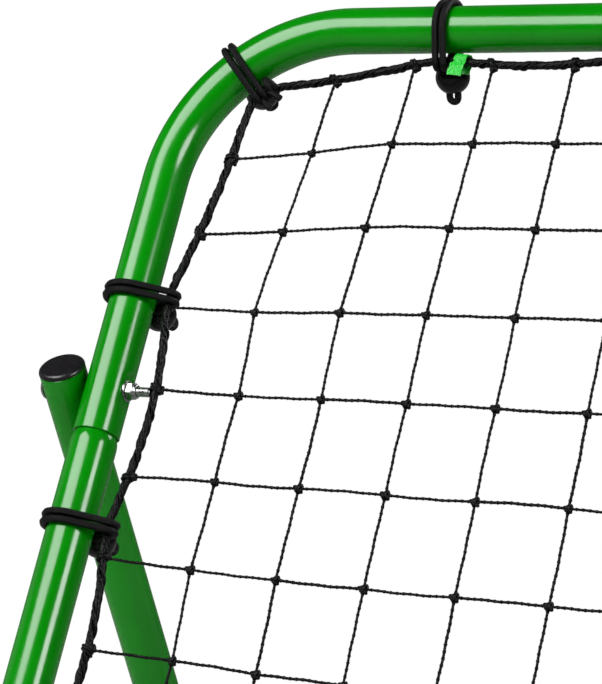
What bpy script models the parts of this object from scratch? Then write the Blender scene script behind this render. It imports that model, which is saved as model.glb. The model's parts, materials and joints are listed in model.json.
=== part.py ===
"""Ball rebounder: a leaning tube frame with an elastically hung net, on a folding rear stand.

Blender 4.5, metres, +Z up. The origin is on the ground at the middle of the footprint.
The ball side faces -Y. The stand turns on two bolts, along X, through the frame's side tubes.

Two empties carry the parts:
  net_frame_axes    x right, y up along the leaning frame, z out of the net towards the player
  rear_stand_axes   on the bolts' axis: x right, y up along the stand's arms
"""

import math

import bmesh
import bpy
from mathutils import Matrix, Vector

# Overall sizes
FRAME_WIDTH = 0.854  # outside to outside
FRAME_HEIGHT = 0.840  # the same, along the leaning frame
LEAN = math.radians(29.0)  # frame, back from vertical
STAND_LEAN = math.radians(27.0)  # stand, the other way
JOIN_GAP = 0.0003  # kept between pieces that touch

# Tubes
TUBE_R = 0.019
TUBE_WALL = 0.0015
BEND_R = 0.140  # every bend, on the tube's axis
TUBE_SIDES = 16
BEND_STEPS = 6
HALF = FRAME_WIDTH / 2 - TUBE_R  # from the middle to a side tube's axis
TOP = FRAME_HEIGHT - 2 * TUBE_R  # from the bottom rail's axis to the top rail's

# Joint between the upper and lower half of the frame, and the pivot bolts
SEAM_Y = TOP - 0.368
PIVOT_Y = TOP - 0.329
NECK_LENGTH = 0.058
NECK_R = 0.0169
SHOULDER = 0.010
FLAT_R = TUBE_R - 0.0018  # a tube is pressed flat on one side, where the nut or the head sits
NECK_FLAT_R = NECK_R - 0.0021
FLAT_HALF = 0.0122  # half the length of the flat
FLAT_REACH = 0.0150  # the same with its run-out

# Stand
ARM_X = HALF + 2 * TUBE_R + JOIN_GAP  # an arm turns beside the side tube, face to face
ARM_TOP = 0.0175  # tube end above the bolt
CAP_R = 0.0192
CAP_HEIGHT = 0.0050
CAP_PLUG = 0.0038

# M8 bolt, nut and washers
BOLT_R = 0.0040
BOLT_LENGTH = 0.0955
BOLT_HOLE_R = 0.0043
BOLT_HEAD_R = 0.0100
BOLT_HEAD_HEIGHT = 0.0050
SQUARE_NECK = 0.0044
NUT_FLATS = 0.0130
NUT_HEIGHT = 0.0080
WASHER_R = 0.0085
WASHER_THICK = 0.0016

# Elastic ties, each a doubled cord closed by a ball
CORD_R = 0.0030
CORD_PAIR = 0.0064  # between the middles of the two strands
CORD_BEND = math.radians(22.0)  # between two corners of a cord where it goes round the tube
GROUND_ANGLE = math.pi + LEAN  # of the ground under the bottom rail, seen from a tie there
BALL_R = 0.0140
BALL_SIDES = 10
BALL_RINGS = (-62.0, -30.0, 0.0, 32.0)  # degrees from the ball's middle, towards the stub
BALL_END_R = 0.0012  # flat at the end that faces the tube
STUB_R = 0.0066  # doubled cord that stands out of the ball
STUB_LENGTH = 0.0090
STUB_ROUND = 0.0030
TIE_XS = (-0.1825, 0.020, 0.1825)  # along the top rail, each clear of the net's twine
TIE_YS = (0.154, 0.3574, 0.5555)  # up the side tubes
CORNER_TIE_ANGLE = math.radians(48.0)  # round the bend, from the side tube

# Net
ROPE_R = 0.0035
TWINE_HALF = 0.0010
MESHES = 10  # along each edge
RAIL_END_MESH = 0.90  # share of a full mesh at each end of a top or bottom edge
SIDE_END_MESH = 0.79
# how far each row of the hand-knotted net hangs above even spacing, from the top row down
ROW_LIFTS = (0.0010, 0.0025, 0.0070, 0.0060, 0.0020, 0.0045, 0.0010, 0.0, 0.0)
RAIL_PULL = 1.05  # pull of the first twines below a rail, against that of the others
SIDE_PULL = 0.95  # and of the first beside a side tube
CROSS_PULL = 0.15  # pull of a twine across its own direction, against along it
TIE_STRAIGHT = 0.0080  # the rope runs straight this far to either side of a tie
RELAX_ROUNDS = 300
NEIGHBOURS = ((1, 0), (-1, 0), (0, 1), (0, -1))  # of a knot, as columns and rows away
SQUARE = ((-1, -1), (1, -1), (1, 1), (-1, 1))  # corners in order
MARKER_FROM_TIE = 0.0180  # tape on the rope, beside the left tie of the top rail
MARKER_WIDTH = 0.0120
MARKER_THICK = 0.0010
MARKER_GAP = 0.0006  # between the rope and the tape folded over it
MARKER_FRONT = 0.0150  # length of its front leg below the middle of the rope
MARKER_BACK = 0.0070

# How each kind of tie sits, looking along its tube: rope is how far in from the tube's axis the
# rope lies, ball is the ball's middle, as inward and behind
TIES = {
    "rail": {"rope": 0.0285, "ball": (0.0300, 0.0240)},
    "side": {"rope": 0.0330, "ball": (0.0075, 0.0327)},
    "corner": {"rope": 0.0310, "ball": (0.0040, 0.0334)},
}
# Inward sag of the rope between two ties, by the kinds of tie at its ends
ROPE_SAG = {
    ("corner", "rail"): 0.0030,
    ("corner", "side"): 0.0050,
    ("rail", "rail"): 0.0060,
    ("side", "side"): 0.0115,
}
SPAN_STEPS = 4

# Ground contact. The front rail stands on the ties that pass under it, the stand on its crossbar
FRONT_AXIS_Z = TUBE_R + JOIN_GAP + 2 * CORD_R
REAR_AXIS_Z = TUBE_R * math.cos(math.pi / TUBE_SIDES)
PIVOT_Z = FRONT_AXIS_Z + PIVOT_Y * math.cos(LEAN)
ARM_LENGTH = (PIVOT_Z - REAR_AXIS_Z) / math.cos(STAND_LEAN)
DEPTH = PIVOT_Y * math.sin(LEAN) + ARM_LENGTH * math.sin(STAND_LEAN)
FRONT_AXIS_Y = (FRONT_AXIS_Z - TUBE_R - DEPTH) / 2
PIVOT_WORLD_Y = FRONT_AXIS_Y + PIVOT_Y * math.sin(LEAN)

LOOKS = {  # colour, roughness, metallic
    "green_paint": ((0.010, 0.300, 0.012), 0.22, 0.0),
    "zinc": ((0.72, 0.73, 0.72), 0.30, 1.0),
    "black_plastic": ((0.018, 0.018, 0.020), 0.35, 0.0),
    "elastic": ((0.020, 0.018, 0.020), 0.75, 0.0),
    "net": ((0.016, 0.016, 0.017), 0.80, 0.0),
    "green_tape": ((0.020, 0.520, 0.060), 0.55, 0.0),
}


def clear_scene():
    for obj in list(bpy.data.objects):
        bpy.data.objects.remove(obj)


def make_materials():
    made = {}
    for name, (colour, roughness, metallic) in LOOKS.items():
        material = bpy.data.materials.new(name)
        material.use_nodes = True
        shader = material.node_tree.nodes["Principled BSDF"]
        shader.inputs["Base Color"].default_value = (*colour, 1.0)
        shader.inputs["Roughness"].default_value = roughness
        shader.inputs["Metallic"].default_value = metallic
        made[name] = material
    return made


def add_axes(name, location, x_turn):
    axes = bpy.data.objects.new(name, None)
    axes.location = location
    axes.rotation_euler = (x_turn, 0.0, 0.0)
    bpy.context.scene.collection.objects.link(axes)
    return axes


def add_part(name, mesh, look, parent, location=(0.0, 0.0, 0.0), z_turn=0.0):
    """An object of its own for one piece, in its parent's axes."""
    part = bpy.data.objects.new(name, mesh)
    bpy.context.scene.collection.objects.link(part)
    if not mesh.materials:
        mesh.materials.append(look)
    part.parent = parent
    part.location = location
    part.rotation_euler = (0.0, 0.0, z_turn)
    return part


def mesh_of_rings(name, rings, loop=False, sharp_degrees=30.0):
    """A closed mesh skinned over rings of points. A loop joins its last ring to its first."""
    shape = bmesh.new()
    rows = [[shape.verts.new(point) for point in ring] for ring in rings]
    pairs = list(zip(rows, rows[1:] + rows[:1])) if loop else list(zip(rows, rows[1:]))
    for first, second in pairs:
        for k in range(len(first)):
            j = (k + 1) % len(first)
            shape.faces.new((first[k], first[j], second[j], second[k]))
    if not loop:
        shape.faces.new(rows[0])
        shape.faces.new(rows[-1])
    bmesh.ops.recalc_face_normals(shape, faces=shape.faces)
    mesh = bpy.data.meshes.new(name)
    shape.to_mesh(mesh)
    shape.free()
    mesh.shade_smooth()
    mesh.set_sharp_from_angle(angle=math.radians(sharp_degrees))
    return mesh


def circle(radius, sides, turn=0.0):
    """(a, b) pairs round a circle."""
    turns = [turn + 2 * math.pi * k / sides for k in range(sides)]
    return [(radius * math.cos(t), radius * math.sin(t)) for t in turns]


def ring_across(point, tangent, outline):
    """An outline set across a path that lies in the XY plane: its first axis is to the path's
    right, its second is +Z."""
    right = Vector((tangent[1], -tangent[0], 0.0)).normalized()
    return [Vector((*point, 0.0)) + right * a + Vector((0.0, 0.0, b)) for a, b in outline]


def u_path(half_width, turn_y, arm):
    """Stations (point, tangent, radius, flat) on the axis of a U whose crossbar is at turn_y. The
    arm gives (y, radius, flat) from its open end to the bend; flat is how far its pressed side
    reaches."""
    way = 1.0 if turn_y > arm[0][0] else -1.0
    stations = [((-half_width, y), (0.0, way), radius, flat) for y, radius, flat in arm]
    for side in (-1.0, 1.0):
        centre_x = side * (half_width - BEND_R)
        for k in range(BEND_STEPS + 1):
            share = k / BEND_STEPS if side < 0 else 1.0 - k / BEND_STEPS
            angle = share * math.pi / 2
            point = (
                centre_x + side * BEND_R * math.cos(angle),
                turn_y - way * BEND_R * (1.0 - math.sin(angle)),
            )
            tangent = (math.sin(angle), -side * way * math.cos(angle))
            stations.append((point, tangent, TUBE_R, TUBE_R))
    stations += [((half_width, y), (0.0, -way), radius, flat) for y, radius, flat in arm[::-1]]
    return stations


def pressed(middle, radius, flat, way):
    """The stretch of an arm round a bolt, flattened on one side, in the order of its way."""
    steps = ((-FLAT_REACH, radius), (-FLAT_HALF, flat), (FLAT_HALF, flat), (FLAT_REACH, radius))
    return [(middle + way * offset, radius, reach) for offset, reach in steps]


def tube_mesh(name, stations, turn=0.0, pressed_side=1.0):
    """An open-ended hollow tube along stations, its section turned so far about the axis. Its
    pressed side is 1 to the path's right and -1 to its left."""

    def ring(point, tangent, radius, flat):
        outline = [
            (pressed_side * min(flat, pressed_side * a), b) for a, b in circle(radius, TUBE_SIDES, turn)
        ]
        return ring_across(point, tangent, outline)

    outer = [ring(*station) for station in stations]
    inner = [
        ring(point, tangent, radius - TUBE_WALL, flat - TUBE_WALL)
        for point, tangent, radius, flat in stations
    ]
    return mesh_of_rings(name, outer + inner[::-1], loop=True)


def add_cutter(name, mesh, parent, location):
    cutter = bpy.data.objects.new(name, mesh)
    bpy.context.scene.collection.objects.link(cutter)
    cutter.parent = parent
    cutter.location = location
    cutter.hide_render = True
    cutter.display_type = "WIRE"
    return cutter


def cut(part, cutter):
    boolean = part.modifiers.new("cut_" + cutter.name, "BOOLEAN")
    boolean.operation = "DIFFERENCE"
    boolean.object = cutter


def lathe_mesh(name, profile, sides, loop=False, sharp_degrees=30.0):
    """Rings round X. Each row of the profile is (x, radius) or (x, outline of (y, z) pairs)."""
    rings = []
    for x, size in profile:
        outline = circle(size, sides) if isinstance(size, float) else size
        rings.append([Vector((x, a, b)) for a, b in outline])
    return mesh_of_rings(name, rings, loop, sharp_degrees)


def polygon_outline(flats, corners, sides, turn=0.0):
    """A regular polygon, given across its flats, drawn with more points so that it joins a circle."""
    outline = []
    sector = 2 * math.pi / corners
    for k in range(sides):
        angle = 2 * math.pi * k / sides
        off_flat = (angle - turn) % sector - sector / 2
        radius = flats / 2 / math.cos(off_flat)
        outline.append((radius * math.cos(angle), radius * math.sin(angle)))
    return outline


def bolt_mesh():
    """Carriage bolt along +X, its head's underside at x = 0."""
    sides = 12
    square = polygon_outline(2 * BOLT_R, 4, sides)
    profile = [
        (-BOLT_HEAD_HEIGHT, 0.0035),
        (-BOLT_HEAD_HEIGHT * 0.65, 0.0080),
        (-0.0008, BOLT_HEAD_R),
        (0.0, BOLT_HEAD_R - 0.0003),
        (0.0, square),
        (SQUARE_NECK, square),
        (SQUARE_NECK + 0.0005, BOLT_R * 0.99),
        (BOLT_LENGTH - 0.0008, BOLT_R * 0.99),
        (BOLT_LENGTH, BOLT_R * 0.80),
    ]
    return lathe_mesh("bolt", profile, sides)


def nut_mesh():
    """Hexagon lock nut along X with a round nylon-insert collar, its seat at x = 0."""
    sides = 12
    hexagon = polygon_outline(NUT_FLATS, 6, sides)
    collar_x = NUT_HEIGHT * 0.70
    profile = [
        (0.0, BOLT_HOLE_R),
        (0.0, NUT_FLATS / 2 - 0.0002),
        (0.0006, hexagon),
        (collar_x - 0.0006, hexagon),
        (collar_x, NUT_FLATS / 2 - 0.0004),
        (NUT_HEIGHT - 0.0005, NUT_FLATS / 2 - 0.0008),
        (NUT_HEIGHT, NUT_FLATS / 2 - 0.0014),
        (NUT_HEIGHT, BOLT_HOLE_R),
    ]
    return lathe_mesh("nut", profile, sides, loop=True)


def washer_mesh(name, radius, thick):
    profile = [
        (0.0, BOLT_HOLE_R),
        (0.0, radius),
        (thick, radius),
        (thick, BOLT_HOLE_R),
    ]
    return lathe_mesh(name, profile, 16, loop=True)


def cap_mesh():
    """End cap along +X: a plug inside the tube from x = -plug to 0, and a crowned flange above."""
    plug_r = TUBE_R - TUBE_WALL - 2 * JOIN_GAP
    profile = [
        (-CAP_PLUG, plug_r - 0.0015),
        (-CAP_PLUG + 0.0015, plug_r),
        (JOIN_GAP, plug_r),
        (JOIN_GAP, CAP_R - 0.0006),
        (JOIN_GAP + 0.0010, CAP_R),
        (CAP_HEIGHT * 0.60, CAP_R - 0.0003),
        (CAP_HEIGHT * 0.90, CAP_R - 0.0030),
        (CAP_HEIGHT, CAP_R - 0.0090),
    ]
    return lathe_mesh("cap", profile, TUBE_SIDES)


def upper_tube():
    arm = [(SEAM_Y, TUBE_R, TUBE_R), *pressed(PIVOT_Y, TUBE_R, FLAT_R, 1.0)]
    return tube_mesh("upper_frame_tube", u_path(HALF, TOP, arm))


def lower_tube():
    """The lower U. Each arm ends in a shoulder and a narrower neck that slides into the upper U."""
    arm = [
        (SEAM_Y + NECK_LENGTH, NECK_R, NECK_R),
        *pressed(PIVOT_Y, NECK_R, NECK_FLAT_R, -1.0),
        (SEAM_Y, NECK_R, NECK_R),
        (SEAM_Y - SHOULDER * 0.15, NECK_R + 0.0003, TUBE_R),
        (SEAM_Y - SHOULDER * 0.45, TUBE_R - 0.0005, TUBE_R),
        (SEAM_Y - SHOULDER, TUBE_R, TUBE_R),
    ]
    return tube_mesh("lower_frame_tube", u_path(HALF, 0.0, arm), pressed_side=-1.0)


def stand_tube():
    arm = [(ARM_TOP, TUBE_R, TUBE_R), *pressed(0.0, TUBE_R, FLAT_R, -1.0)]
    flat_down = STAND_LEAN - math.pi / TUBE_SIDES
    return tube_mesh("rear_stand_tube", u_path(ARM_X, -ARM_LENGTH, arm), flat_down)


def build_tubes(frame_axes, stand_axes, looks):
    """The three tubes, drilled for the pivot bolts."""
    upper = add_part("upper_frame_tube", upper_tube(), looks["green_paint"], frame_axes)
    lower = add_part("lower_frame_tube", lower_tube(), looks["green_paint"], frame_axes)
    stand = add_part("rear_stand_tube", stand_tube(), looks["green_paint"], stand_axes)
    reach = 2 * TUBE_R
    hole = circle(BOLT_HOLE_R, 16, math.radians(7.0))
    drill_mesh = lathe_mesh("drill", [(-reach, hole), (reach, hole)], 16)
    square = circle((BOLT_R + 0.0006) * math.sqrt(2), 4, math.radians(3.0))
    broach_mesh = lathe_mesh("broach", [(-TUBE_R / 2, square), (TUBE_R / 2, square)], 4)
    for side, way in (("left", -1.0), ("right", 1.0)):
        drill = add_cutter("frame_drill_" + side, drill_mesh, frame_axes, (way * HALF, PIVOT_Y, 0.0))
        cut(upper, drill)
        cut(lower, drill)
        arm_drill = add_cutter("arm_drill_" + side, drill_mesh, stand_axes, (way * ARM_X, 0.0, 0.0))
        broach = add_cutter(
            "arm_broach_" + side, broach_mesh, stand_axes, (way * (ARM_X + TUBE_R), 0.0, 0.0)
        )
        cut(stand, arm_drill)
        cut(stand, broach)


def build_hardware(stand_axes, looks):
    """End caps, bolts, nuts and washers of the two pivots. All of them turn with the stand."""
    bolt, nut, cap = bolt_mesh(), nut_mesh(), cap_mesh()
    washer = washer_mesh("washer", WASHER_R, WASHER_THICK)
    face = FLAT_R + JOIN_GAP  # from a tube's axis to a piece on its flat
    for side, way in (("left", -1.0), ("right", 1.0)):
        inward = 0.0 if way < 0 else math.pi  # turns +X towards the middle

        def put(name, mesh, look, x, turn=inward):
            add_part(name + "_" + side, mesh, looks[look], stand_axes, (way * x, 0.0, 0.0), turn)

        put("pivot_bolt", bolt, "zinc", ARM_X + face)
        put("pivot_washer", washer, "zinc", HALF - face)
        put("pivot_nut", nut, "zinc", HALF - face - WASHER_THICK - JOIN_GAP)
        end_cap = add_part(
            "stand_end_cap_" + side, cap, looks["black_plastic"], stand_axes, (way * ARM_X, ARM_TOP, 0.0)
        )
        end_cap.rotation_euler = (0.0, 0.0, math.pi / 2)


def tie_places():
    """Every tie in order round the frame, anticlockwise from the top left corner: its kind, the
    point on the tube's axis, and the direction towards the net."""
    places = []
    for way_x, way_y in ((-1, 1), (-1, -1), (1, -1), (1, 1)):
        inward = Vector((-way_x * math.cos(CORNER_TIE_ANGLE), -way_y * math.sin(CORNER_TIE_ANGLE)))
        bend = Vector((way_x * (HALF - BEND_R), TOP / 2 + way_y * (TOP / 2 - BEND_R)))
        corner = ("corner", bend - inward * BEND_R, inward)
        places.append(corner)
        if way_x == way_y:  # bottom left or top right: a rail follows
            rail_y = TOP if way_y > 0 else 0.0
            line = [("rail", Vector((-way_x * x, rail_y)), Vector((0, -way_y))) for x in TIE_XS]
        else:
            ys = TIE_YS[::-1] if way_x < 0 else TIE_YS
            line = [("side", Vector((way_x * HALF, y)), Vector((-way_x, 0))) for y in ys]
        places += line
    return places


def tie_path(kind):
    """Points (inward, front) of the doubled cord's middle line: from the ball, round the tube and
    the rope, and back to the ball."""
    rope, ball = TIES[kind]["rope"], TIES[kind]["ball"]
    around_tube = TUBE_R + JOIN_GAP + CORD_R
    around_rope = ROPE_R + JOIN_GAP + CORD_R
    clear_ball = BALL_R + JOIN_GAP + CORD_R + 0.0003
    tangent_angle = math.acos((around_tube - around_rope) / rope)
    middle = Vector((ball[0], -ball[1]))
    reach = middle.length
    behind = math.atan2(ball[1], ball[0])
    off = math.acos((around_tube**2 + reach**2 - clear_ball**2) / (2 * around_tube * reach))
    start = 2 * math.pi - max(behind + off, tangent_angle + math.radians(2.0))
    bends = [GROUND_ANGLE + CORD_BEND * (k + 0.5) for k in range(-12, 12)]
    inside = [a for a in bends if tangent_angle + CORD_BEND / 4 < a < start - CORD_BEND / 4]
    points = []
    for angle in [start, *inside[::-1], tangent_angle]:
        outside = around_tube / math.cos(CORD_BEND / 2)
        points.append(Vector((math.cos(angle), math.sin(angle))) * outside)
    rope_steps = 3
    for k in range(rope_steps + 1):
        angle = tangent_angle * (1.0 - 2.0 * k / rope_steps)
        points.append(Vector((rope, 0.0)) + Vector((math.cos(angle), math.sin(angle))) * around_rope)
    tangent_point = Vector((math.cos(tangent_angle), -math.sin(tangent_angle))) * around_tube
    run = tangent_point - points[-1]
    steps = 40
    gaps = [(points[-1] + run * (k + 1) / steps - middle).length for k in range(steps)]
    stop = next(k for k in range(steps) if gaps[k] < clear_ball)
    if stop > 2:
        points.append(points[-1] + run * stop / steps)
    return points


def tie_cord_mesh(kind):
    """The doubled cord of a tie: X inward, Y along the tube, Z to the front."""
    points = tie_path(kind)
    half = CORD_PAIR / 2 + CORD_R
    flat = CORD_PAIR / 2
    outline = [(0, half), (CORD_R, flat), (CORD_R, -flat), (0, -half), (-CORD_R, -flat), (-CORD_R, flat)]
    rings = []
    for k, point in enumerate(points):
        before, after = points[max(k - 1, 0)], points[min(k + 1, len(points) - 1)]
        along = (after - before).normalized()
        out = Vector((along.y, 0.0, -along.x))
        centre = Vector((point.x, 0.0, point.y))
        rings.append([centre + out * a + Vector((0.0, b, 0.0)) for a, b in outline])
    return mesh_of_rings("tie_cord_" + kind, rings, sharp_degrees=60.0)


def tie_ball_mesh(kind):
    """Ball with the stub of doubled cord that stands out of it, away from the tube: X inward, Z to
    the front."""
    profile = [(-BALL_R, BALL_END_R)]
    for degrees in BALL_RINGS:
        angle = math.radians(degrees)
        profile.append((BALL_R * math.sin(angle), BALL_R * math.cos(angle)))
    foot = math.sqrt(BALL_R**2 - STUB_R**2)
    profile += [
        (foot, STUB_R),
        (foot + STUB_LENGTH - STUB_ROUND, STUB_R),
        (foot + STUB_LENGTH, STUB_R * 0.6),
    ]
    mesh = lathe_mesh("tie_ball_" + kind, profile, BALL_SIDES)
    inward_by, behind = TIES[kind]["ball"]
    mesh.transform(Matrix.Rotation(math.atan2(behind, inward_by), 4, "Y"))
    return mesh


def build_ties(frame_axes, looks):
    cords = {kind: tie_cord_mesh(kind) for kind in TIES}
    balls = {kind: tie_ball_mesh(kind) for kind in TIES}
    for number, (kind, point, inward) in enumerate(tie_places(), start=1):
        turn = math.atan2(inward.y, inward.x)
        name = f"{number:02d}"
        add_part("tie_cord_" + name, cords[kind], looks["elastic"], frame_axes, (*point, 0.0), turn)
        inward_by, behind = TIES[kind]["ball"]
        place = point + inward * inward_by
        add_part(
            "tie_ball_" + name, balls[kind], looks["black_plastic"], frame_axes, (*place, -behind), turn
        )


def rope_line():
    """Points round the net's border rope, and for each tie the number of the point just after it.
    The rope is straight under a tie and sags inwards between ties."""
    ties = tie_places()
    points, afters = [], []
    for k, (kind, point, inward) in enumerate(ties):
        next_kind, next_point, next_inward = ties[(k + 1) % len(ties)]
        onward = Vector((-inward.y, inward.x)) * -TIE_STRAIGHT
        next_onward = Vector((-next_inward.y, next_inward.x)) * -TIE_STRAIGHT
        start = point + inward * TIES[kind]["rope"] + onward
        end = next_point + next_inward * TIES[next_kind]["rope"] - next_onward
        sag = ROPE_SAG[tuple(sorted((kind, next_kind)))]
        across = Vector((-(end - start).y, (end - start).x)).normalized()
        afters.append(len(points))
        for step in range(SPAN_STEPS + 1):
            share = step / SPAN_STEPS
            points.append(start.lerp(end, share) + across * sag * 4 * share * (1 - share))
    return points, afters


def rope_mesh():
    points, _ = rope_line()
    rings = []
    for k, point in enumerate(points):
        before, after = points[k - 1], points[(k + 1) % len(points)]
        rings.append(ring_across(point, (after - before).normalized(), circle(ROPE_R, 6)))
    return mesh_of_rings("net_border_rope", rings, loop=True, sharp_degrees=70.0)


def edge_points(line, end_mesh, shifts):
    """Where the net's meshes hang on one edge of the rope: evenly, with a short first and last
    mesh, and then each moved along the rope by its shift."""
    lengths = [0.0]
    for first, second in zip(line, line[1:]):
        lengths.append(lengths[-1] + (second - first).length)
    mesh = lengths[-1] / (MESHES - 2 + 2 * end_mesh)
    found = []
    for k in range(MESHES - 1):
        wanted = mesh * (k + end_mesh) + shifts[k]
        i = next(n for n, length in enumerate(lengths) if length >= wanted) - 1
        share = (wanted - lengths[i]) / (lengths[i + 1] - lengths[i])
        found.append(line[i].lerp(line[i + 1], share))
    return found


def weighted(values, weights):
    return sum(value * weight for value, weight in zip(values, weights)) / sum(weights)


def net_knots():
    """Knots of the stretched net by column and row: the edge knots are spread along the rope, and
    every inner knot hangs in balance between its four neighbours."""
    rope, afters = rope_line()
    corners = [afters[k] for k in range(0, len(afters), 4)] + [len(rope)]
    end_meshes = (SIDE_END_MESH, RAIL_END_MESH) * 2
    even = [0.0] * (MESHES - 1)
    shifts = ([-lift for lift in ROW_LIFTS], even, ROW_LIFTS[::-1], even)
    left, bottom, right, top = (
        edge_points(rope[a:b], *how) for a, b, *how in zip(corners, corners[1:], end_meshes, shifts)
    )
    knots = {}
    for k in range(1, MESHES):
        knots[0, k], knots[MESHES, k] = left[MESHES - 1 - k], right[k - 1]
        knots[k, 0], knots[k, MESHES] = bottom[k - 1], top[MESHES - 1 - k]
    inner = [(i, j) for i in range(1, MESHES) for j in range(1, MESHES)]
    for i, j in inner:
        knots[i, j] = Vector((knots[i, 0].x, knots[0, j].y))
    for _ in range(RELAX_ROUNDS):
        for i, j in inner:
            sides = [knots[i - 1, j], knots[i + 1, j]]
            ends = [knots[i, j - 1], knots[i, j + 1]]
            side_pulls = [SIDE_PULL if n in (0, MESHES) else 1.0 for n in (i - 1, i + 1)]
            end_pulls = [RAIL_PULL if n in (0, MESHES) else 1.0 for n in (j - 1, j + 1)]
            knots[i, j] = Vector(
                (
                    weighted([p.x for p in sides + ends], side_pulls + [CROSS_PULL] * 2),
                    weighted([p.y for p in ends + sides], end_pulls + [CROSS_PULL] * 2),
                )
            )
    return knots


def knot_block(shape, centre):
    """A small cube of twine at a knot. Gives the corners of the four sides that face a strand."""
    corner = {
        (a, b, c): shape.verts.new(
            (centre.x + a * TWINE_HALF, centre.y + b * TWINE_HALF, c * TWINE_HALF)
        )
        for a in (-1, 1)
        for b in (-1, 1)
        for c in (-1, 1)
    }
    for c in (-1, 1):
        shape.faces.new([corner[a, b, c] for a, b in SQUARE])
    return {
        (dx, dy): [corner[(dx, t, c) if dx else (t, dy, c)] for t, c in SQUARE]
        for dx, dy in NEIGHBOURS
    }


def bridge(shape, first, second):
    for k in range(4):
        n = (k + 1) % 4
        shape.faces.new((first[k], first[n], second[n], second[k]))


def net_mesh():
    """The twine as one lattice of square strands, ending just short of the rope."""
    knots = net_knots()
    shape = bmesh.new()
    short_of_rope = ROPE_R + TWINE_HALF + JOIN_GAP
    inner = [(i, j) for i in range(1, MESHES) for j in range(1, MESHES)]
    sides = {place: knot_block(shape, knots[place]) for place in inner}
    for i, j in inner:
        for dx, dy in NEIGHBOURS:
            there = (i + dx, j + dy)
            first = sides[i, j][dx, dy]
            if there in sides:
                if dx + dy > 0:
                    bridge(shape, first, sides[there][-dx, -dy])
                continue
            run = knots[there] - knots[i, j]
            moved = run * (1 - short_of_rope / run.length)
            shift = Vector((moved.x - dx * TWINE_HALF, moved.y - dy * TWINE_HALF, 0.0))
            end = [shape.verts.new(v.co + shift) for v in first]
            bridge(shape, first, end)
            shape.faces.new(end)
    bmesh.ops.recalc_face_normals(shape, faces=shape.faces)
    mesh = bpy.data.meshes.new("net_mesh")
    shape.to_mesh(mesh)
    shape.free()
    return mesh


def marker_mesh():
    """A strip of tape folded over the rope: X along the rope, Y up, Z to the front."""
    around = ROPE_R + MARKER_GAP + MARKER_THICK / 2
    line = [Vector((-MARKER_FRONT, around))]
    line += [
        Vector((math.sin(angle), math.cos(angle))) * around
        for angle in (math.pi * k / 6 for k in range(7))
    ]
    line.append(Vector((-MARKER_BACK, -around)))
    rings = []
    for k, point in enumerate(line):
        before, after = line[max(k - 1, 0)], line[min(k + 1, len(line) - 1)]
        along = (after - before).normalized()
        out = Vector((0.0, -along.y, along.x))
        centre = Vector((0.0, point.x, point.y))
        rings.append(
            [
                centre + out * a * MARKER_THICK / 2 + Vector((b * MARKER_WIDTH / 2, 0.0, 0.0))
                for a, b in SQUARE
            ]
        )
    return mesh_of_rings("net_marker_tape", rings, sharp_degrees=40.0)


def build_net(frame_axes, looks):
    add_part("net_border_rope", rope_mesh(), looks["net"], frame_axes)
    add_part("net_mesh", net_mesh(), looks["net"], frame_axes)
    rope, afters = rope_line()
    beside_tie, away = rope[afters[-1] - 1], rope[afters[-1] - 2]
    along = (away - beside_tie).normalized()
    place = beside_tie + along * (MARKER_FROM_TIE - TIE_STRAIGHT)
    turn = math.atan2(along.y, along.x)
    add_part("net_marker_tape", marker_mesh(), looks["green_tape"], frame_axes, (*place, 0.0), turn)


def main():
    clear_scene()
    looks = make_materials()
    frame_axes = add_axes("net_frame_axes", (0.0, FRONT_AXIS_Y, FRONT_AXIS_Z), math.pi / 2 - LEAN)
    stand_axes = add_axes(
        "rear_stand_axes", (0.0, PIVOT_WORLD_Y, PIVOT_Z), math.pi / 2 + STAND_LEAN
    )
    build_tubes(frame_axes, stand_axes, looks)
    build_hardware(stand_axes, looks)
    build_net(frame_axes, looks)
    build_ties(frame_axes, looks)


main()
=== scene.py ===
"""Looks of the ball rebounder: fine meshes, materials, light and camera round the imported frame.

Lengths are metres. Two sets of axes carry the pieces, as in the CAD:
  FRAME_AXES  x right, y up along the leaning frame, z out of the net towards the player
  STAND_AXES  on the pivot bolts' axis, x right, y up along the stand's arms
"""

import json
import math
import random

import bpy
from mathutils import Matrix, Vector

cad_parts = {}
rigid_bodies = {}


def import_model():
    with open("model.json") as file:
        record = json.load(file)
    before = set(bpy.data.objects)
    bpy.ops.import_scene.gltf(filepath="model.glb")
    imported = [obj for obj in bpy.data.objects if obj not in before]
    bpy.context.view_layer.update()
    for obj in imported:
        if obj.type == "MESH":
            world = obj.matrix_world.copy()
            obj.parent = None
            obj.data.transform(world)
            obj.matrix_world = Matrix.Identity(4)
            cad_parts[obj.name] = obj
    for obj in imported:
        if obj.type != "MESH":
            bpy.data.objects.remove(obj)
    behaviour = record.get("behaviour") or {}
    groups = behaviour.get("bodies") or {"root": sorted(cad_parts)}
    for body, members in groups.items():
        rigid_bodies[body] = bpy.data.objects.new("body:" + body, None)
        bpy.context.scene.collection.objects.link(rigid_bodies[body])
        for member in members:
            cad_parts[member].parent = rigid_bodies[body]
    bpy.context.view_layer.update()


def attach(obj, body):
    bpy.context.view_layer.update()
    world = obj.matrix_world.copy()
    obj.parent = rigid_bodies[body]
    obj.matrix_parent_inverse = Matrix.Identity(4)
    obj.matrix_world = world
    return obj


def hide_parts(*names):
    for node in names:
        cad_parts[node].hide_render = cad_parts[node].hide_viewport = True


# ---- driving sizes, the same as the CAD's
FRAME_WIDTH = 0.854
FRAME_HEIGHT = 0.840
LEAN = math.radians(29.0)
STAND_LEAN = math.radians(27.0)
JOIN_GAP = 0.0003
TUBE_R = 0.019
TUBE_WALL = 0.0015
BEND_R = 0.140
TUBE_SIDES = 16  # of the CAD's tubes, which set how high the stand's crossbar lies
HALF = FRAME_WIDTH / 2 - TUBE_R
TOP = FRAME_HEIGHT - 2 * TUBE_R
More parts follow.
